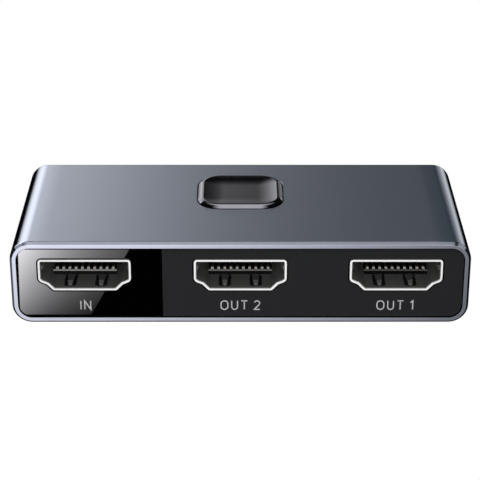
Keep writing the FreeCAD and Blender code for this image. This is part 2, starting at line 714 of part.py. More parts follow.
def mux_pads():
    """The pads under the chip's four edges and the large one under its middle."""
    pads = []
    pitch = MUX_SIZE / (MUX_PADS_PER_SIDE + 2)
    edge = MUX_SIZE / 2
    z_from, z_to = BOARD_TOP, BOARD_TOP + MUX_PAD_THICKNESS
    for i in range(MUX_PADS_PER_SIDE):
        along = (i - (MUX_PADS_PER_SIDE - 1) / 2) * pitch
        low, high = along - MUX_PAD_WIDTH / 2, along + MUX_PAD_WIDTH / 2
        for side in (-1, 1):
            near, far = sorted((side * (edge - MUX_PAD_REACH), side * edge))
            pads.append(box(MUX_X + near, MUX_X + far, chip_y() + low, chip_y() + high, z_from, z_to))
            pads.append(box(MUX_X + low, MUX_X + high, chip_y() + near, chip_y() + far, z_from, z_to))
    middle = MUX_SIZE / 4
    pads.append(box(MUX_X - middle, MUX_X + middle, chip_y() - middle, chip_y() + middle, z_from, z_to))
    return pads


def logic_chip():
    return box(
        LOGIC_X - LOGIC_LENGTH / 2, LOGIC_X + LOGIC_LENGTH / 2,
        chip_y() - LOGIC_WIDTH / 2, chip_y() + LOGIC_WIDTH / 2,
        BOARD_TOP + LOGIC_STAND_OFF, BOARD_TOP + LOGIC_STAND_OFF + LOGIC_THICKNESS,
    )


def logic_leads():
    """Gull-wing leads along the chip's two long sides."""
    leads = []
    t = LEAD_THICKNESS
    root = BOARD_TOP + LOGIC_STAND_OFF + LOGIC_THICKNESS / 2
    for side in (-1, 1):
        face = chip_y() + side * LOGIC_WIDTH / 2
        out = face + side * LOGIC_LEAD_REACH
        knee = face + side * LOGIC_LEAD_REACH / 3
        outer_knee = knee + side * t
        outline = [(face, root), (outer_knee, root), (outer_knee, BOARD_TOP + t), (out, BOARD_TOP + t)]
        outline += [(out, BOARD_TOP), (knee, BOARD_TOP), (knee, root - t), (face, root - t)]
        for i in range(LOGIC_LEADS_PER_SIDE):
            x = LOGIC_X + (i - (LOGIC_LEADS_PER_SIDE - 1) / 2) * LOGIC_LEAD_PITCH
            leads.append(strip(outline, x - LOGIC_LEAD_WIDTH / 2, x + LOGIC_LEAD_WIDTH / 2))
    return leads


def esd_clamps():
    """Small surge-protection chips in a row behind each socket's contacts."""
    made = []
    y = SHELL_REAR + TAIL_GAP + TAIL_STAGGER + TAIL_FOOT_LENGTH + CONTACT_THICKNESS + CLAMP_SETBACK
    for i in range(len(PORT_NAMES)):
        for n in range(CLAMPS_PER_PORT):
            x = port_x(i) + (n - (CLAMPS_PER_PORT - 1) / 2) * (CLAMP_LENGTH + CLAMP_GAP)
            made.append(box(
                x - CLAMP_LENGTH / 2, x + CLAMP_LENGTH / 2, y - CLAMP_WIDTH / 2, y + CLAMP_WIDTH / 2,
                BOARD_TOP, BOARD_TOP + CLAMP_THICKNESS,
            ))
    return made


def chip_row(x, height):
    """A row of two-ended chips round x."""
    made = []
    for n in range(CHIP_COUNT):
        y = chip_y() + (n - (CHIP_COUNT - 1) / 2) * CHIP_ROW_SPACING
        made.append(box(
            x - CHIP_LENGTH / 2, x + CHIP_LENGTH / 2,
            y - CHIP_WIDTH / 2, y + CHIP_WIDTH / 2, BOARD_TOP, BOARD_TOP + height,
        ))
    return made


def small_chips(height, gap):
    """Rows of chips on the outer sides of the two larger chips, each row a gap away from its larger chip."""
    left = MUX_X - MUX_SIZE / 2 - gap - CHIP_LENGTH / 2
    right = LOGIC_X + LOGIC_LENGTH / 2 + gap + CHIP_LENGTH / 2
    return chip_row(left, height) + chip_row(right, height)


def indicator_lamps():
    front = BOARD_FRONT + LAMP_GAP
    back = front + LAMP_DEPTH
    half = LAMP_WIDTH / 2
    return [box(x - half, x + half, front, back, BOARD_TOP, BOARD_TOP + LAMP_HEIGHT) for x in lamp_places()]


def light_rods():
    return [
        tube_round(x, lamp_z(), LIGHT_ROD_RADIUS, FRONT + PANEL_BACK, BOARD_FRONT)
        for x in lamp_places()
    ]


# Push switch

def switch_peg_places():
    reach = SWITCH_SIZE / 2 - SWITCH_PEG_INSET
    return [(sx * reach, BUTTON_Y + sy * reach) for sx in (-1, 1) for sy in (-1, 1)]


def upright(x, y, radius, z_from, z_to):
    return Part.makeCylinder(radius, z_to - z_from, Vector(x, y, z_from), UP)


def switch_outline():
    """Corners and radius of the switch from above."""
    return rectangle(SWITCH_SIZE, SWITCH_SIZE, 0, BUTTON_Y), SWITCH_CORNER_RADIUS


def switch_base(terminals):
    base = flat_prism(*switch_outline(), BOARD_TOP, SWITCH_BASE_TOP)
    base = base.cut(upright(0, BUTTON_Y, SWITCH_WELL_RADIUS, SWITCH_FLOOR, SWITCH_BASE_TOP + BEYOND))
    peg_foot = SWITCH_BASE_TOP - OVERLAP
    peg_top = SWITCH_BASE_TOP + SWITCH_COVER_THICKNESS + SWITCH_PEG_PROUD
    pegs = [upright(x, y, SWITCH_PEG_RADIUS, peg_foot, peg_top) for x, y in switch_peg_places()]
    return join([base] + pegs).cut(Part.makeCompound(terminals))


def switch_cover():
    top = SWITCH_BASE_TOP + SWITCH_COVER_THICKNESS
    plate = flat_prism(*switch_outline(), SWITCH_BASE_TOP, top)
    hole = SWITCH_STEM_RADIUS + SWITCH_STEM_CLEARANCE
    plate = plate.cut(upright(0, BUTTON_Y, hole, SWITCH_BASE_TOP - BEYOND, top + BEYOND))
    for x, y in switch_peg_places():
        radius = SWITCH_PEG_RADIUS + SWITCH_PEG_CLEARANCE
        plate = plate.cut(upright(x, y, radius, SWITCH_BASE_TOP - BEYOND, top + BEYOND))
    return plate


def switch_plunger():
    flange_top = SWITCH_BASE_TOP - SWITCH_TOP_PLAY
    flange_bottom = flange_top - SWITCH_FLANGE_THICKNESS
    radius = SWITCH_WELL_RADIUS - SWITCH_FLANGE_CLEARANCE
    return join([
        upright(0, BUTTON_Y, radius, flange_bottom, flange_top),
        upright(0, BUTTON_Y, SWITCH_STEM_RADIUS, flange_top - OVERLAP, SWITCH_TOP),
        upright(0, BUTTON_Y, SWITCH_NUB_RADIUS, DOME_TOP, flange_bottom + OVERLAP),
    ])


def switch_dome():
    """The snap disc: a thin cap of a sphere standing on its rim."""
    sphere = (DOME_RADIUS**2 + DOME_RISE**2) / (2 * DOME_RISE)
    centre = Vector(0, BUTTON_Y, SWITCH_FLOOR + DOME_RISE - sphere)
    outer = Part.makeSphere(sphere + DOME_THICKNESS, centre)
    inner = Part.makeSphere(sphere, centre)
    slab = upright(0, BUTTON_Y, DOME_RADIUS, SWITCH_FLOOR, DOME_TOP + BEYOND)
    return outer.cut(inner).common(slab)


def terminal(side, z_top):
    """A strip across the base with a foot at each end. side is its side of the middle."""
    t = TERMINAL_THICKNESS
    y = BUTTON_Y + side * TERMINAL_OFFSET
    drop = SWITCH_SIZE / 2 + TERMINAL_STAND_OFF
    out = drop + t + TERMINAL_FOOT_LENGTH
    low, high = y - TERMINAL_WIDTH / 2, y + TERMINAL_WIDTH / 2
    pieces = [box(-drop - t, drop + t, low, high, z_top - t, z_top)]
    for sx in (-1, 1):
        near, far = sorted((sx * drop, sx * (drop + t)))
        pieces.append(box(near, far, low, high, BOARD_TOP, z_top))
        near, far = sorted((sx * drop, sx * out))
        pieces.append(box(near, far, low, high, BOARD_TOP, BOARD_TOP + t))
    return pieces


def switch_terminals():
    """The outer strip touches the disc's rim, and the other rises to the pad under the disc's middle."""
    rim = terminal(1, SWITCH_FLOOR)
    top = SWITCH_FLOOR - TERMINAL_STEP
    bottom = top - TERMINAL_THICKNESS
    middle = terminal(-1, top)
    half = TERMINAL_WIDTH / 2
    middle.append(box(-half, half, BUTTON_Y - TERMINAL_OFFSET, BUTTON_Y + half, bottom, top))
    middle.append(upright(0, BUTTON_Y, CENTRE_PAD_RADIUS, bottom, SWITCH_FLOOR))
    return [join(rim), join(middle)]


# Button

def button_cap():
    """The dished cap: bevelled rim, skirt, stop flange, ribs and the boss that rests on the switch."""
    rim = CASE_HEIGHT + BUTTON_PROUD
    inset, height = 0, rim - sum(BUTTON_BEVEL_RISES)
    body = button_prism(0, CAP_FLANGE_BOTTOM, height)
    wires = [button_wire(0, height)]
    for run, rise in zip(BUTTON_BEVEL_RUNS, BUTTON_BEVEL_RISES):
        inset += run
        height += rise
        wires.append(button_wire(-inset, height))
    bevel = Part.makeLoft(wires, True, True)
    flange = button_prism(CAP_FLANGE, CAP_FLANGE_BOTTOM, CAP_FLANGE_TOP)
    cap = join([body, bevel, flange]).cut(dish(rim))
    ceiling = rim - DISH_DEPTH - CAP_THICKNESS
    cap = cap.cut(button_prism(-CAP_SKIRT, CAP_FLANGE_BOTTOM - BEYOND, ceiling))
    across = (BUTTON_WIDTH - CAP_SKIRT) / 2
    along = (BUTTON_DEPTH - CAP_SKIRT) / 2
    half = CAP_RIB_THICKNESS / 2
    low = ceiling - CAP_RIB_HEIGHT
    ribs = [box(-across, across, BUTTON_Y - half, BUTTON_Y + half, low, ceiling)]
    ribs.append(box(-half, half, BUTTON_Y - along, BUTTON_Y + along, low, ceiling))
    boss = upright(0, BUTTON_Y, CAP_BOSS_RADIUS, SWITCH_TOP, ceiling + OVERLAP)
    return join([cap, boss] + ribs)


def dish(rim):
    """The hollow in the cap's top: steep at the rim, easing in a parabola to the flat middle."""
    edge = -BUTTON_BEVEL_RUN - BUTTON_RIM_LAND
    wires = []
    for band in range(DISH_BANDS + 1):
        left = 1 - band / DISH_BANDS
        wires.append(button_wire(edge - DISH_RUN * (1 - left), rim - DISH_DEPTH * (1 - left**2)))
    hollow = Part.makeLoft(wires, True, True)
    lid = flat_prism(*button_outline(edge), rim, rim + BEYOND)
    return join([hollow, lid])


def button_retainer():
    """The frame bonded under the sleeve's roof, whose ledge keeps the cap in."""
    ledge_top = CAP_FLANGE_BOTTOM - BUTTON_TRAVEL - RETAINER_OVERTRAVEL
    room = CAP_FLANGE + RETAINER_SIDE_CLEARANCE
    frame = button_prism(room + RETAINER_WALL, ledge_top - RETAINER_LEDGE_THICKNESS, INNER_TOP)
    frame = frame.cut(button_prism(room, ledge_top, INNER_TOP + BEYOND))
    return frame.cut(button_prism(0, ledge_top - RETAINER_LEDGE_THICKNESS - BEYOND, ledge_top + BEYOND))


def main():
    os.makedirs("parts", exist_ok=True)
    save("housing_sleeve", housing_sleeve())
    for end, y_of in (("front", front_y), ("rear", rear_y)):
        with_ports = end == "front"
        save(f"{end}_panel", end_panel(y_of, with_ports))
        save(f"{end}_adhesive", end_adhesive(y_of, with_ports))
        save(f"{end}_frame", end_frame(y_of, with_ports))
        save(f"{end}_screws", Part.makeCompound([end_screw(y_of, x, z) for x, z in screw_places()]))
    for i, name in enumerate(PORT_NAMES):
        pins = contacts(port_x(i))
        save(f"{name}_shell", shell(port_x(i)))
        save(f"{name}_insulator", insulator(port_x(i), pins))
        save(f"{name}_contacts", Part.makeCompound(pins))
    save("main_board", main_board())
    save("mux_chip", mux_chip())
    save("mux_chip_pads", Part.makeCompound(mux_pads()))
    save("logic_chip", logic_chip())
    save("logic_chip_leads", Part.makeCompound(logic_leads()))
    save("surge_clamps", Part.makeCompound(esd_clamps()))
    save("chip_capacitors", Part.makeCompound(small_chips(CAPACITOR_HEIGHT, CAPACITOR_GAP)))
    save("chip_resistors", Part.makeCompound(small_chips(RESISTOR_HEIGHT, RESISTOR_GAP)))
    save("indicator_lamps", Part.makeCompound(indicator_lamps()))
    save("light_rods", Part.makeCompound(light_rods()))
    terminals = switch_terminals()
    save("switch_terminals", Part.makeCompound(terminals))
    save("switch_base", switch_base(terminals))
    save("switch_cover", switch_cover())
    save("switch_plunger", switch_plunger())
    save("switch_dome", switch_dome())
    save("button_cap", button_cap())
    save("button_retainer", button_retainer())


main()
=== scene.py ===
import math

import bmesh
import bpy
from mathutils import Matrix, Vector


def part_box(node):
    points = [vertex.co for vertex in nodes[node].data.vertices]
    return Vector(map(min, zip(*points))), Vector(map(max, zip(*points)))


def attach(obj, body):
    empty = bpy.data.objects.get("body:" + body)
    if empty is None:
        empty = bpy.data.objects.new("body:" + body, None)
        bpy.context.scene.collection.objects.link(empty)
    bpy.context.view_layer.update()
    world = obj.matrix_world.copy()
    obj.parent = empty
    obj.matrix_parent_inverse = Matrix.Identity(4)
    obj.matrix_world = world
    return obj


# The looks of a two-way HDMI switch: a satin anodised sleeve with bright-cut ends, a front panel
# that is gloss round the input and satin elsewhere, nickel-plated sockets and a dished button.
# Everything is in metres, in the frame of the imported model.

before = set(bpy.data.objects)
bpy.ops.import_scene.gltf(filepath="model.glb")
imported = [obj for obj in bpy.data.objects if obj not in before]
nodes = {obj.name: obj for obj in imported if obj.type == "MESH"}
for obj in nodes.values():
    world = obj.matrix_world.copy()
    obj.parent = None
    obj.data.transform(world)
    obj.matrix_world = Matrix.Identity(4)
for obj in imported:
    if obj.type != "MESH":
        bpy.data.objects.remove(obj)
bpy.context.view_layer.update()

MM = 0.001

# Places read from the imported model
SLEEVE_LOW, SLEEVE_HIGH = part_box("housing_sleeve")
FRONT_Y = SLEEVE_LOW.y
REAR_Y = SLEEVE_HIGH.y
PANEL_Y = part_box("front_panel")[0].y
MOUTH_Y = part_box("input_shell")[0].y
CONTACT_TIP_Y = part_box("input_contacts")[0].y
PORTS = ("input", "output_2", "output_1")


def port_x(name):
    low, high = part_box(f"{name}_shell")
    return (low.x + high.x) / 2


# Camera: looks along +Y and down, as in the photograph
CAMERA_PLACE = Vector((-0.05, -259.8, 128.9)) * MM
CAMERA_DOWN = math.radians(25.096)
CAMERA_LENS = 127.0
SENSOR_WIDTH = 36
CLIP_START, CLIP_END = 0.01, 20

camera_data = bpy.data.cameras.new("camera")
camera = bpy.data.objects.new("camera", camera_data)
bpy.context.scene.collection.objects.link(camera)
camera.location = CAMERA_PLACE
camera.rotation_euler = (math.pi / 2 - CAMERA_DOWN, 0, 0)
camera_data.lens = CAMERA_LENS
camera_data.sensor_width = SENSOR_WIDTH
camera_data.clip_start = CLIP_START
camera_data.clip_end = CLIP_END
bpy.context.scene.camera = camera


# Node trees

class Nodes:
    """A node tree under construction, with short calls for the nodes that it uses."""

    def __init__(self, owner, coordinates, output):
        owner.use_nodes = True
        self.tree = owner.node_tree
        self.coordinates = self.tree.nodes.new(coordinates).outputs[output]

    def node(self, kind, **settings):
        made = self.tree.nodes.new(kind)
        for name, value in settings.items():
            setattr(made, name, value)
        return made

    def feed(self, socket, value):
        if isinstance(value, bpy.types.NodeSocket):
            self.tree.links.new(value, socket)
        else:
            socket.default_value = value

    def math(self, operation, a, b=0.0):
        made = self.node("ShaderNodeMath", operation=operation)
        self.feed(made.inputs[0], a)
        self.feed(made.inputs[1], b)
        return made.outputs[0]

    def total(self, result, *others):
        for value in others:
            result = self.math("ADD", result, value)
        return result

    def product(self, result, *others):
        for value in others:
            result = self.math("MULTIPLY", result, value)
        return result

    def noise(self, size, detail=2.0, stretch=(1, 1, 1)):
        """Noise whose grains are about size metres across, stretched along each axis."""
        mapping = self.node("ShaderNodeMapping")
        self.tree.links.new(self.coordinates, mapping.inputs["Vector"])
        mapping.inputs["Scale"].default_value = [1 / (size * s) for s in stretch]
        made = self.node("ShaderNodeTexNoise")
        self.tree.links.new(mapping.outputs[0], made.inputs["Vector"])
        made.inputs["Scale"].default_value = 1.0
        made.inputs["Detail"].default_value = detail
        return made.outputs["Fac"]

    def spread(self, value, low, high):
        """value from 0..1 spread over low..high."""
        made = self.node("ShaderNodeMapRange")
        self.feed(made.inputs["Value"], value)
        made.inputs["To Min"].default_value = low
        made.inputs["To Max"].default_value = high
        return made.outputs[0]

    def step(self, value, zero, one):
        """A straight ramp from 0 where value is zero to 1 where it is one, and level beyond both."""
        made = self.node("ShaderNodeMapRange")
        self.feed(made.inputs["Value"], value)
        made.inputs["From Min"].default_value = zero
        made.inputs["From Max"].default_value = one
        return made.outputs[0]

    def band(self, value, low_ramp, high_ramp):
        """1 between two ramps, each given as where it is 0 and where it is 1, and 0 outside them."""
        return self.product(self.step(value, *low_ramp), self.step(value, *high_ramp))

    def place(self, axis):
        """The point's x, y or z, in metres."""
        split = self.node("ShaderNodeSeparateXYZ")
        self.tree.links.new(self.coordinates, split.inputs[0])
        return split.outputs[axis]

    def mix(self, share, a, b):
        """Colour a where share is 0 and b where it is 1."""
        made = self.node("ShaderNodeMix", data_type="RGBA")
        self.feed(made.inputs["Factor"], share)
        for socket, value in ((made.inputs["A"], a), (made.inputs["B"], b)):
            self.feed(socket, (*value, 1.0) if isinstance(value, tuple) else value)
        return made.outputs["Result"]


class Shader(Nodes):
    """A node material, in its object's own coordinates."""

    def __init__(self, name):
        self.material = bpy.data.materials.new(name)
        super().__init__(self.material, "ShaderNodeTexCoord", "Object")
        self.surface = next(n for n in self.tree.nodes if n.type == "BSDF_PRINCIPLED")

    def set(self, **values):
        """Sets constant inputs of the surface, with underscores for the spaces in their names."""
        for name, value in values.items():
            self.surface.inputs[name.replace("_", " ")].default_value = value
        return self

    def link(self, output, name):
        self.tree.links.new(output, self.surface.inputs[name])
        return self

    def bump(self, height, depth, strength):
        made = self.node("ShaderNodeBump")
        self.feed(made.inputs["Strength"], strength)
        made.inputs["Distance"].default_value = depth
        self.tree.links.new(height, made.inputs["Height"])
        self.tree.links.new(made.outputs[0], self.surface.inputs["Normal"])
        return self


# A normal on a rounded corner counts as a flat face's when it is within this angle of that face's own
FLAT_WITHIN = math.radians(5)


def meet_flats(piece):
    """Turns the shading at the ends of rounded corners to match the flat faces that they run into."""
    mesh = piece.data
    turned = [corner.vector.copy() for corner in mesh.corner_normals]
    for face in mesh.polygons:
        if not face.use_smooth:
            continue
        for i in face.loop_indices:
            for axis in (Vector((1, 0, 0)), Vector((0, 0, 1))):
                lean = turned[i].dot(axis)
                if abs(lean) > math.cos(FLAT_WITHIN):
                    turned[i] = axis * math.copysign(1, lean)
    mesh.normals_split_custom_set(turned)


meet_flats(nodes["housing_sleeve"])


# Materials

def grey(level):
    return (level, level, level)


# The sleeve's bright-cut finish and the sockets' painted lip highlight are full at their faces and this far
# behind them, and gone a little further back
END_CUT_FULL, END_CUT_GONE = 0.02 * MM, 0.04 * MM
LIP_HIGHLIGHT_FULL, LIP_HIGHLIGHT_GONE = 0.03 * MM, 0.09 * MM


def anodised_aluminium():
    """Bead-blasted, anodised metal. The flat faces at both ends are bright-cut, and the flats get smoother
    towards the rounded corners. The walls of the button's opening carry painted shade: the middle of the
    sleeve is painted dark everywhere below its top face."""
    s = Shader("anodised_aluminium").set(Metallic=1.0)
    y = s.place(1)
    cuts = [s.step(y, face + inwards * END_CUT_GONE, face + inwards * END_CUT_FULL)
            for face, inwards in ((FRONT_Y, 1), (REAR_Y, -1))]
    ends = s.math("MAXIMUM", *cuts)
    mottle = s.spread(s.noise(4 * MM, detail=3.0), 0.0, 0.25)
    satin = s.mix(mottle, (0.20, 0.215, 0.258), (0.25, 0.265, 0.30))
    bright_cut = (0.52, 0.54, 0.60)
    flat_end = SLEEVE_HIGH.x - 3.0 * MM
    past_flat = s.math("SUBTRACT", s.math("ABSOLUTE", s.place(0)), flat_end)
    # Painted shade: the walls of the button's opening are painted near black, for the shade in that recess
    below_top = s.step(s.place(2), SLEEVE_HIGH.z - 0.01 * MM, SLEEVE_HIGH.z - 0.03 * MM)
    behind_front = s.step(y, FRONT_Y + 2 * MM, FRONT_Y + 3 * MM)
    near_button = s.step(past_flat, -20 * MM, -21 * MM)
    opening_shade_mask = s.product(below_top, behind_front, near_button)
    painted_opening_shade = (0.04, 0.042, 0.05)
    s.link(s.mix(opening_shade_mask, s.mix(ends, satin, bright_cut), painted_opening_shade), "Base Color")
    grain = s.noise(0.09 * MM, detail=3.0)
    corner = s.step(past_flat, -3.0 * MM, 2.0 * MM)
    smooth = s.total(s.product(corner, 0.24), s.product(ends, 0.18))
    s.link(s.math("SUBTRACT", s.spread(grain, 0.3, 0.37), smooth), "Roughness")
    return s.bump(grain, 0.004 * MM, s.spread(corner, 0.25, 0.0)).material


def panel_plastic():
    """Back-printed clear panel: gloss black round the input, and a satin dark grey beyond it."""
    s = Shader("front_panel_plastic").set(IOR=1.52)
    edge = (port_x("input") + port_x("output_2")) / 2
    blur = 0.05 * MM
    satin = s.step(s.place(0), edge - blur, edge + blur)
    grain = s.noise(0.12 * MM)
    s.link(s.mix(satin, grey(0.001), (0.036, 0.0365, 0.039)), "Base Color")
    s.link(s.total(s.product(satin, s.spread(grain, 0.42, 0.5)), 0.01), "Roughness")
    return s.bump(s.product(satin, grain), 0.004 * MM, 0.3).material


def rear_plastic():
    """Plain satin panel, near black."""
    s = Shader("rear_panel_plastic").set(IOR=1.45)
    grain = s.noise(0.12 * MM)
    s.link(s.mix(s.noise(6 * MM), (0.014, 0.014, 0.016), (0.02, 0.02, 0.022)), "Base Color")
    s.link(s.spread(grain, 0.42, 0.52), "Roughness")
    return s.bump(grain, 0.004 * MM, 0.3).material


def nickel():
    """Plated, stamped sheet with faint draw lines along Y. The bright lip is a painted highlight, and the
    dark inside is painted shade.
    """
    s = Shader("socket_nickel")
    # Painted highlight on the lip's face and painted shade inside: the same plating in near white and in dark
    # grey
    lip_highlight = s.step(s.place(1), MOUTH_Y + LIP_HIGHLIGHT_GONE, MOUTH_Y + LIP_HIGHLIGHT_FULL)
    s.link(s.mix(lip_highlight, (0.2, 0.195, 0.19), grey(0.92)), "Base Color")
    s.link(s.spread(lip_highlight, 0.5, 1.0), "Metallic")
    lines = s.noise(0.15 * MM, detail=3.0, stretch=(1, 12, 1))
    s.link(s.spread(lines, 0.28, 0.42), "Roughness")
    return s.bump(lines, 0.003 * MM, 0.3).material


def moulded(name, colour, roughness, size=0.15 * MM, ior=1.47):
    """Moulded plastic with a fine spark-eroded grain, and a roughness between the two given."""
    s = Shader(name).set(IOR=ior)
    grain = s.noise(size, detail=3.0)
    pale = tuple(min(1.0, c * 1.35 + 0.002) for c in colour)
    s.link(s.mix(s.spread(s.noise(size * 14), 0.0, 0.7), colour, pale), "Base Color")
    s.link(s.spread(grain, *roughness), "Roughness")
    return s.bump(grain, size / 25, 0.4).material


def metal(name, colour, roughness):
    """Plain or plated metal with fine tool marks, and a roughness between the two given."""
    s = Shader(name).set(Metallic=1.0)
    size = 0.1 * MM
    marks = s.noise(size, detail=3.0)
    dull = tuple(c * 0.8 for c in colour)
    s.link(s.mix(s.spread(s.noise(size * 20), 0.0, 0.8), colour, dull), "Base Color")
    s.link(s.spread(marks, *roughness), "Roughness")
    return s.bump(marks, size / 30, 0.3).material


def contact_plate():
    """Dull gold over nickel, wiped in lines along Y, with painted shade that makes it dark behind the nose.
    """
    s = Shader("contact_gold").set(Metallic=0.45)
    # Painted shade: the contacts go dark behind the nose, where the socket's roof shades them
    shade_behind_nose = s.step(s.place(1), CONTACT_TIP_Y + 0.4 * MM, CONTACT_TIP_Y + 0.8 * MM)
    wipes = s.noise(0.08 * MM, stretch=(1, 10, 1))
    nose = s.mix(wipes, (0.9, 0.84, 0.74), (0.98, 0.93, 0.85))
    s.link(s.mix(shade_behind_nose, nose, (0.03, 0.025, 0.02)), "Base Color")
    s.link(s.spread(wipes, 0.3, 0.45), "Roughness")
    return s.bump(wipes, 0.002 * MM, 0.2).material


def solder_mask():
    """Dark green lacquer over the board's weave."""
    s = Shader("board_mask").set(IOR=1.5, Coat_Weight=0.4, Coat_Roughness=0.2)
    weave = s.noise(0.5 * MM, detail=1.0)
    s.link(s.mix(weave, (0.003, 0.012, 0.008), (0.005, 0.018, 0.012)), "Base Color")
    s.link(s.spread(weave, 0.35, 0.5), "Roughness")
    return s.bump(weave, 0.01 * MM, 0.2).material


def clear_rod():
    """Clear plastic with a little haze."""
    s = Shader("clear_rod").set(IOR=1.49, Transmission_Weight=0.9)
    haze = s.noise(0.4 * MM)
    s.link(s.mix(haze, (0.9, 0.93, 0.95), (0.84, 0.88, 0.92)), "Base Color")
    s.link(s.spread(haze, 0.08, 0.2), "Roughness")
    return s.material


def button_plastic():
    """Smooth, dark metallised plastic."""
    s = Shader("button_plastic").set(Metallic=1.0)
    grain = s.noise(0.1 * MM)
    s.link(s.mix(s.noise(3 * MM), (0.059, 0.057, 0.066), (0.067, 0.065, 0.074)), "Base Color")
    s.link(s.spread(grain, 0.09, 0.13), "Roughness")
    return s.bump(grain, 0.001 * MM, 0.15).material


def wear(node_names, material):
    """Gives CAD nodes a material in every slot."""
    for name in node_names:
        mesh = nodes[name].data
        if not mesh.materials:
            mesh.materials.append(material)
        for i in range(len(mesh.materials)):
            mesh.materials[i] = material


shells = [f"{port}_shell" for port in PORTS]
insulators = [f"{port}_insulator" for port in PORTS]
contacts = [f"{port}_contacts" for port in PORTS]

wear(["housing_sleeve"], anodised_aluminium())
wear(["front_panel"], panel_plastic())
wear(["rear_panel"], rear_plastic())
wear(["front_frame", "rear_frame", "button_retainer"],
     moulded("frame_plastic", grey(0.004), (0.6, 0.7)))
wear(["front_adhesive", "rear_adhesive"],
     moulded("adhesive_foam", grey(0.02), (0.8, 0.95), size=0.3 * MM))
wear(["front_screws", "rear_screws"], metal("zinc_steel", (0.6, 0.6, 0.62), (0.3, 0.45)))
wear(shells, nickel())
wear(insulators, moulded("insulator_plastic", grey(0.012), (0.2, 0.3), ior=1.7))
wear(contacts, contact_plate())
wear(["main_board"], solder_mask())
wear(["mux_chip", "logic_chip", "surge_clamps", "chip_resistors"],
     moulded("chip_resin", grey(0.02), (0.45, 0.6)))
wear(["mux_chip_pads", "logic_chip_leads", "switch_terminals"],
     metal("tinned_copper", (0.75, 0.75, 0.74), (0.3, 0.45)))
wear(["chip_capacitors"], moulded("ceramic_tan", (0.35, 0.22, 0.12), (0.5, 0.65)))
wear(["indicator_lamps"], moulded("lamp_resin", (0.75, 0.74, 0.66), (0.25, 0.35)))
wear(["light_rods"], clear_rod())
wear(["switch_base", "switch_plunger"], moulded("switch_plastic", grey(0.02), (0.4, 0.55)))
wear(["switch_cover", "switch_dome"], metal("plain_steel", grey(0.6), (0.25, 0.4)))
wear(["button_cap"], button_plastic())


# Labels under the sockets: plain words in thin strokes of white ink

LABELS = {"input": "IN", "output_2": "OUT 2", "output_1": "OUT 1"}
LABEL_HEIGHT = 1.55 * MM
LABEL_STROKE = 0.19 * MM
LABEL_Z = 2.36 * MM
LETTER_GAP = 0.62 * MM
WORD_SPACE = 0.35 * LABEL_HEIGHT
INK_THICKNESS = 0.02 * MM
ARC_STEPS = 14


def arc(x, y, across, up, start, end):
    """Points along part of an ellipse, from one angle to the other in degrees."""
    angles = [math.radians(start + (end - start) * i / ARC_STEPS) for i in range(ARC_STEPS + 1)]
    return [(x + across * math.cos(a), y + up * math.sin(a)) for a in angles]


# Each letter's width and strokes, in shares of its height
LETTERS = {
    "I": (0.0, [[(0, 0), (0, 1)]]),
    "N": (0.62, [[(0, 0), (0, 1), (0.62, 0), (0.62, 1)]]),
    "O": (0.72, [arc(0.36, 0.64, 0.36, 0.36, 0, 180) + arc(0.36, 0.36, 0.36, 0.36, 180, 360)
                 + [(0.72, 0.64)]]),
    "U": (0.6, [[(0, 1)] + arc(0.3, 0.3, 0.3, 0.3, 180, 360) + [(0.6, 1)]]),
    "T": (0.62, [[(0, 1), (0.62, 1)], [(0.31, 1), (0.31, 0)]]),
    "1": (0.24, [[(0, 0.8), (0.24, 1), (0.24, 0)]]),
    "2": (0.54, [arc(0.27, 0.73, 0.27, 0.27, 165, -35) + [(0, 0), (0.56, 0)]]),
}


def word_strokes(word):
    """A word's strokes, in metres from the start of its baseline, and its width."""
    strokes = []
    pen = 0.0
    for letter in word:
        if letter == " ":
            pen += WORD_SPACE
            continue
        width, lines = LETTERS[letter]
        for line in lines:
            strokes.append([(pen + x * LABEL_HEIGHT, y * LABEL_HEIGHT) for x, y in line])
        pen += width * LABEL_HEIGHT + LETTER_GAP
    return strokes, pen - LETTER_GAP


def ribbon(points, width):
    """Left and right edges of a stroke along points, mitred where it turns."""
    left, right = [], []
    for i, (x, y) in enumerate(points):
        normals = []
        for (ax, ay), (bx, by) in zip(points[max(i - 1, 0):i + 1], points[max(i, 1):i + 2]):
            length = math.hypot(bx - ax, by - ay)
            normals.append(((ay - by) / length, (bx - ax) / length))
        nx, ny = sum(n[0] for n in normals), sum(n[1] for n in normals)
        scale = width / 2 * len(normals) / (nx * nx + ny * ny)
        left.append((x + nx * scale, y + ny * scale))
        right.append((x - nx * scale, y - ny * scale))
    return left, right


def label(port, word, material):
    """A word centred under a socket, on the panel's face."""
    strokes, width = word_strokes(word)
    start = port_x(port) - width / 2
    made = bmesh.new()
    for stroke in strokes:
        left, right = ([made.verts.new((start + x, PANEL_Y, LABEL_Z + z)) for x, z in side]
                       for side in ribbon(stroke, LABEL_STROKE))
        for i in range(len(stroke) - 1):
            made.faces.new((right[i], right[i + 1], left[i + 1], left[i]))
    mesh = bpy.data.meshes.new(f"label_{port}")
    made.to_mesh(mesh)
    made.free()
    piece = bpy.data.objects.new(f"label_{port}", mesh)
    bpy.context.scene.collection.objects.link(piece)
    piece.modifiers.new("ink", "SOLIDIFY").thickness = -INK_THICKNESS
    mesh.materials.append(material)
    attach(piece, "housing")
    return piece


ink = moulded("label_ink", (0.70, 0.70, 0.72), (0.5, 0.6), size=0.1 * MM)
labels = [label(port, word, ink) for port, word in LABELS.items()]


# Surroundings. The floor and the backdrop are white in the picture only, so that the metal reflects
# the softboxes against a dark room, as in the photograph.

ROOM_RADIUS = 4.0
OBJECT_MIDDLE = Vector((0, 0, 10)) * MM
WHITE = grey(1.0)


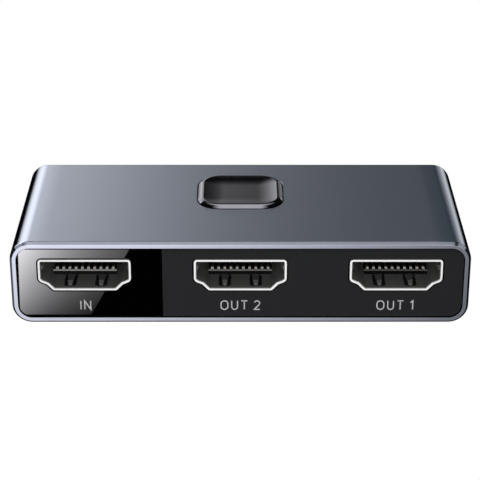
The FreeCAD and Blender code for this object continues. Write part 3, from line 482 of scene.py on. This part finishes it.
def glowing(name, colour, strength):
    """A glowing material. strength is a number, or a function that builds one in the material's nodes."""
    s = Shader(name)
    glow = s.node("ShaderNodeEmission")
    glow.inputs["Color"].default_value = (*colour, 1)
    s.feed(glow.inputs["Strength"], strength(s) if callable(strength) else strength)
    out = next(n for n in s.tree.nodes if n.type == "OUTPUT_MATERIAL")
    s.tree.links.new(glow.outputs[0], out.inputs[0])
    return s.material


def add_stage(name, build, material):
    """A mesh that isn't part of the object."""
    mesh = bpy.data.meshes.new(name)
    made = bmesh.new()
    build(made)
    made.to_mesh(mesh)
    made.free()
    mesh.materials.append(material)
    piece = bpy.data.objects.new(name, mesh)
    bpy.context.scene.collection.objects.link(piece)
    return piece


def show_to_camera_only(piece):
    for kind in ("diffuse", "glossy", "transmission", "volume_scatter", "shadow"):
        setattr(piece, f"visible_{kind}", False)


paper = glowing("backdrop_white", WHITE, 1.0)
floor = add_stage("floor", lambda made: bmesh.ops.create_grid(made, size=ROOM_RADIUS), paper)
backdrop = add_stage("backdrop",
                     lambda made: bmesh.ops.create_icosphere(made, subdivisions=3, radius=ROOM_RADIUS), paper)
show_to_camera_only(floor)
show_to_camera_only(backdrop)


# Lights. A place is an azimuth in degrees from straight back towards +X, an elevation in degrees and a
# distance from the object's middle. A radiance is the lamp's own brightness, with white paper at 1.

def aim(made, place):
    """Puts a light or card at its place, facing the object."""
    azimuth, elevation, distance = place
    a, e = math.radians(azimuth), math.radians(elevation)
    way = Vector((math.sin(a) * math.cos(e), math.cos(a) * math.cos(e), math.sin(e)))
    made.location = OBJECT_MIDDLE + way * distance
    made.rotation_euler = (-way).to_track_quat("-Z", "Y").to_euler()


def light_only(lamp, pieces):
    """Keeps a light for the named pieces alone."""
    group = bpy.data.collections.new(f"{lamp.name}_receivers")
    for piece in pieces:
        group.objects.link(piece)
    lamp.light_linking.receiver_collection = group


def area_lamp(name, size, radiance, pieces, colour):
    """An evenly lit rectangle, at the origin."""
    width, height = size
    light = bpy.data.lights.new(name, "AREA")
    light.shape = "RECTANGLE"
    light.size = width
    light.size_y = height
    light.energy = radiance * math.pi * width * height
    light.color = colour
    made = bpy.data.objects.new(name, light)
    bpy.context.scene.collection.objects.link(made)
    made.visible_camera = False
    light_only(made, pieces)
    return made


def softbox(name, place, size, radiance, pieces, colour=WHITE):
    """An evenly lit rectangle that faces the object and lights only the pieces named."""
    aim(area_lamp(name, size, radiance, pieces, colour), place)


def card(name, place, across, up, colour, radiance):
    """A glowing sheet that faces the object, from across[0] to across[1] and from up[0] to up[1], whose
    brightness radiance works out from the sheet's own coordinates."""
    (left, right), (low, high) = across, up
    corners = [(left, low), (right, low), (right, high), (left, high)]
    made = add_stage(name, lambda sheet: sheet.faces.new([sheet.verts.new((x, y, 0)) for x, y in corners]),
                     glowing(name, colour, radiance))
    made.visible_camera = False
    aim(made, place)
    return made


def shape_light(lamp, strength):
    """Makes a lamp of radiance 1 follow strength, which works from the place on it in the object's frame."""
    s = Nodes(lamp.data, "ShaderNodeNewGeometry", "Position")
    glow = next(n for n in s.tree.nodes if n.type == "EMISSION")
    s.feed(glow.inputs["Strength"], strength(s))


button = [nodes["button_cap"]]
sleeve = [nodes["housing_sleeve"]]
sockets = [nodes[name] for name in shells]
others = [piece for name, piece in nodes.items() if name not in ("button_cap", *shells)] + labels

# Most lamps stand this far away
FAR = 0.9

# The key card, behind the object, is what the top face mirrors. The card faces the camera, so its x
# runs left. A ramp is where it is 0 and where it is 1.
KEY_PLACE = (-12, 17, FAR)
KEY_ACROSS = (-0.705, 0.705)
KEY_UP = (-0.6, 0.42)
KEY_COLOUR = (0.96, 0.98, 1.0)
KEY_RADIANCE = 2.0
KEY_KNEE = -0.042
KEY_FALL = 0.094
KEY_LOW_RAMP = (-0.27, -0.12)
KEY_HIGH_RAMP = (0.42, 0.11)
CROWN_SLOPE = 6.0
CROWN_RAMP = (0.05, 0.18)
BELLY_GAIN = 0.52
BELLY_ACROSS_RAMP = (0.0, 0.085)
BELLY_LOW_RAMP = (-0.13, -0.03)
BELLY_HIGH_RAMP = (0.2, 0.06)


def key_radiance(s):
    """Level to the left of the knee, and falling by a factor e in each KEY_FALL to the right of it.
    Left of the knee a crown adds light high up, and a belly adds some lower down."""
    x, y = s.place(0), s.place(1)
    past_knee = s.math("SUBTRACT", x, KEY_KNEE)
    fade = s.math("EXPONENT", s.math("DIVIDE", s.math("MINIMUM", past_knee, 0.0), KEY_FALL))
    crown = s.product(s.math("MAXIMUM", past_knee, 0.0), s.step(y, *CROWN_RAMP), CROWN_SLOPE)
    belly = s.product(s.band(y, BELLY_LOW_RAMP, BELLY_HIGH_RAMP), BELLY_GAIN, s.step(x, *BELLY_ACROSS_RAMP))
    return s.product(s.total(fade, crown, belly), s.band(y, KEY_LOW_RAMP, KEY_HIGH_RAMP), KEY_RADIANCE)


card("key", KEY_PLACE, KEY_ACROSS, KEY_UP, KEY_COLOUR, key_radiance)

# The rim card, behind and to the right, is what the sleeve's right corner mirrors
RIM_PLACE = (24, 0, 0.85)
RIM_ACROSS = (-0.14, 0.14)
RIM_UP = (-0.35, 0.35)
RIM_COLOUR = (0.92, 0.96, 1.0)
RIM_RADIANCE = 1.4
RIM_LOW_RAMP = (-0.1, 0.04)
RIM_HIGH_RAMP = (0.32, 0.06)


def rim_radiance(s):
    """Brightest just above its middle, fading upwards and, faster, towards the bottom."""
    return s.product(s.band(s.place(1), RIM_LOW_RAMP, RIM_HIGH_RAMP), RIM_RADIANCE)


card("rim_right", RIM_PLACE, RIM_ACROSS, RIM_UP, RIM_COLOUR, rim_radiance)

# The front lamp. SHADED gives the shares of it that the outputs' insulators get.
FRONT_RADIANCE = 3.6
FRONT_PLACE = (186, 40, FAR)
FRONT_SIZE = (0.9, 0.35)
SHADED = {"output_2_insulator": 0.6, "output_1_insulator": 0.3}

in_front = [piece for piece in others if piece.name not in SHADED] + button
softbox("front", FRONT_PLACE, FRONT_SIZE, FRONT_RADIANCE, in_front)
for name, share in SHADED.items():
    softbox(f"front_{name}", FRONT_PLACE, FRONT_SIZE, FRONT_RADIANCE * share, [nodes[name]])

# Lamps for the sides, the top, the corners and the chamfers
softbox("side_left", (-105, 35, FAR), (0.7, 0.5), 1.2, others + sockets)
softbox("side_right", (105, 35, FAR), (0.7, 0.5), 1.0, others + sockets)
softbox("overhead", (0, 84, 0.7), (0.56, 0.95), 1.42, others)
softbox("overhead_left", (-90, 74, 0.72), (0.95, 0.4), 1.0, others)
softbox("low_left", (-90, -25, FAR), (0.6, 0.3), 0.3, others)
softbox("low_rear", (0, -26, FAR), (0.36, 0.2), 0.5, others)
softbox("fill_right", (25, 30, FAR), (0.5, 0.35), 0.14, sleeve, (0.5, 0.85, 1.0))

# The button has a card of its own overhead, and lamps for its bevels
BUTTON_PLACE = (0, 88, 0.75)
BUTTON_ACROSS = (-0.45, 0.45)
BUTTON_UP = (-0.5, 0.5)
BUTTON_RADIANCE = 5.7
BUTTON_SIDE_RAMP = (0.45, 0.08)
BUTTON_FADE_POWER = 1.2


def button_radiance(s):
    """Brightest along the middle, and fading to both sides."""
    middle = s.step(s.math("ABSOLUTE", s.place(0)), *BUTTON_SIDE_RAMP)
    return s.product(s.math("POWER", middle, BUTTON_FADE_POWER), BUTTON_RADIANCE)


button_card = card("button_top", BUTTON_PLACE, BUTTON_ACROSS, BUTTON_UP, WHITE, button_radiance)
light_only(button_card, button)
softbox("button_right", (23, 6, FAR), (0.12, 0.4), 0.55, button)
softbox("button_left", (-25, 0, FAR), (0.3, 0.24), 1.4, button)
softbox("button_rear", (0, 1, FAR), (0.3, 0.16), 0.16, button)

# A lamp for the insides of the sockets' shells
softbox("socket_fill", (180, 14, FAR), (0.6, 0.3), 15.0, sockets)

# These light the sleeve for the angles that the photograph doesn't show, and hardly show from its own
AROUND = (60, 135, 225, 300)
for azimuth in AROUND:
    softbox(f"around_{azimuth}", (azimuth, 22, FAR), (0.7, 0.4), 0.8, sleeve)
    softbox(f"under_{azimuth}", (azimuth, -18, FAR), (0.5, 0.3), 0.3, sleeve)

# The ring card, low in front, is what the sleeve's bright-cut front face mirrors. Its x runs right.
RING_PLACE = (180, -25, 0.3)
RING_ACROSS = (-0.15, 0.15)
RING_UP = (-0.06, 0.06)
RING_COLOUR = (0.94, 0.94, 1.0)
RING_RADIANCE = 1.1
RING_LEFT_RAMP = (-0.17, -0.065)
RING_FALL = 8.8
RING_LEAST = 0.1
RING_RISE = 8.5
RING_MIDDLE = 0.82


def ring_radiance(s):
    """Falls by RING_FALL a metre towards the right, down to a least share, and rises by RING_RISE a metre."""
    x, y = s.place(0), s.place(1)
    falling = s.math("MAXIMUM", s.math("SUBTRACT", 1.0, s.product(x, RING_FALL)), RING_LEAST)
    rising = s.total(s.product(y, RING_RISE), RING_MIDDLE)
    return s.product(falling, s.step(x, *RING_LEFT_RAMP), rising, RING_RADIANCE)


ring_card = card("ring_light", RING_PLACE, RING_ACROSS, RING_UP, RING_COLOUR, ring_radiance)
light_only(ring_card, sleeve)

# Lamps for the contacts' tips, and for the sockets' lips and the labels
softbox("contact_light", (180, 30, FAR), (0.5, 0.2), 18.0, [nodes[name] for name in contacts])
softbox("socket_light", (180, -25, 0.2), (0.2, 0.1), 1.0, sockets + labels)

# The gloss lamp lies below and in front of the panel, whose gloss end mirrors it as a slanting patch.
# These are places in the object's frame: x runs right, and y nears the object.
GLOSS_COLOUR = (0.97, 0.96, 1.0)
GLOSS_RADIANCE = 15.8
GLOSS_Z = -0.1
GLOSS_LEFT, GLOSS_RIGHT = -0.07, -0.035
GLOSS_FAR, GLOSS_NEAR = -0.254, -0.21
GLOSS_LEFT_SLANT, GLOSS_RIGHT_SLANT = 0.136, 0.19
GLOSS_DARK_Y = -0.2
GLOSS_DEPTH = 0.051
GLOSS_DEPTH_POWER = 0.8
GLOSS_FADE, GLOSS_FADE_X = 67.6, -0.0673
GLOSS_NEAR_FADE, GLOSS_NEAR_FADE_X = 54.0, -0.058


def gloss_radiance(s):
    """Brightest at the far left. It fades towards GLOSS_DARK_Y, just past the near edge, and towards the
    right, faster at the near edge. Both sides slant inwards to that edge."""
    x, y = s.place(0), s.place(1)
    near = s.math("POWER", s.step(y, GLOSS_FAR, GLOSS_NEAR), 2.0)
    fade = s.product(s.math("SUBTRACT", x, GLOSS_FADE_X), -GLOSS_FADE)
    near_fade = s.product(s.math("SUBTRACT", x, GLOSS_NEAR_FADE_X), near, -GLOSS_NEAR_FADE)
    across = s.math("EXPONENT", s.total(fade, near_fade))
    from_dark = s.math("DIVIDE", s.math("SUBTRACT", GLOSS_DARK_Y, y), GLOSS_DEPTH)
    along = s.math("POWER", from_dark, GLOSS_DEPTH_POWER)
    nearer = s.math("SUBTRACT", y, GLOSS_FAR)
    left = s.math("GREATER_THAN", s.total(x, s.product(nearer, -GLOSS_LEFT_SLANT)), GLOSS_LEFT)
    right = s.math("LESS_THAN", s.total(x, s.product(nearer, GLOSS_RIGHT_SLANT)), GLOSS_RIGHT)
    return s.product(across, along, s.product(left, right), GLOSS_RADIANCE)


gloss_size = (GLOSS_RIGHT - GLOSS_LEFT, GLOSS_NEAR - GLOSS_FAR)
gloss_lamp = area_lamp("gloss_light", gloss_size, 1.0, [nodes["front_panel"]], GLOSS_COLOUR)
gloss_lamp.location = ((GLOSS_LEFT + GLOSS_RIGHT) / 2, (GLOSS_FAR + GLOSS_NEAR) / 2, GLOSS_Z)
gloss_lamp.rotation_euler = (math.pi, 0, 0)
shape_light(gloss_lamp, gloss_radiance)


# The room, as the metal mirrors it: dim above the horizon and nearly dark below it
ROOM_COLOUR = (0.86, 0.93, 1.0)
ROOM_STRENGTHS = (0.02, 0.04)
HORIZON_RAMP = (-0.15, 0.1)


def studio_world():
    world = bpy.data.worlds.new("studio")
    s = Nodes(world, "ShaderNodeTexCoord", "Generated")
    background = s.tree.nodes["Background"]
    background.inputs["Color"].default_value = (*ROOM_COLOUR, 1)
    above = s.step(s.place(2), *HORIZON_RAMP)
    s.feed(background.inputs["Strength"], s.spread(above, *ROOM_STRENGTHS))
    return world


bpy.context.scene.world = studio_world()
bpy.context.scene.view_settings.view_transform = "Standard"
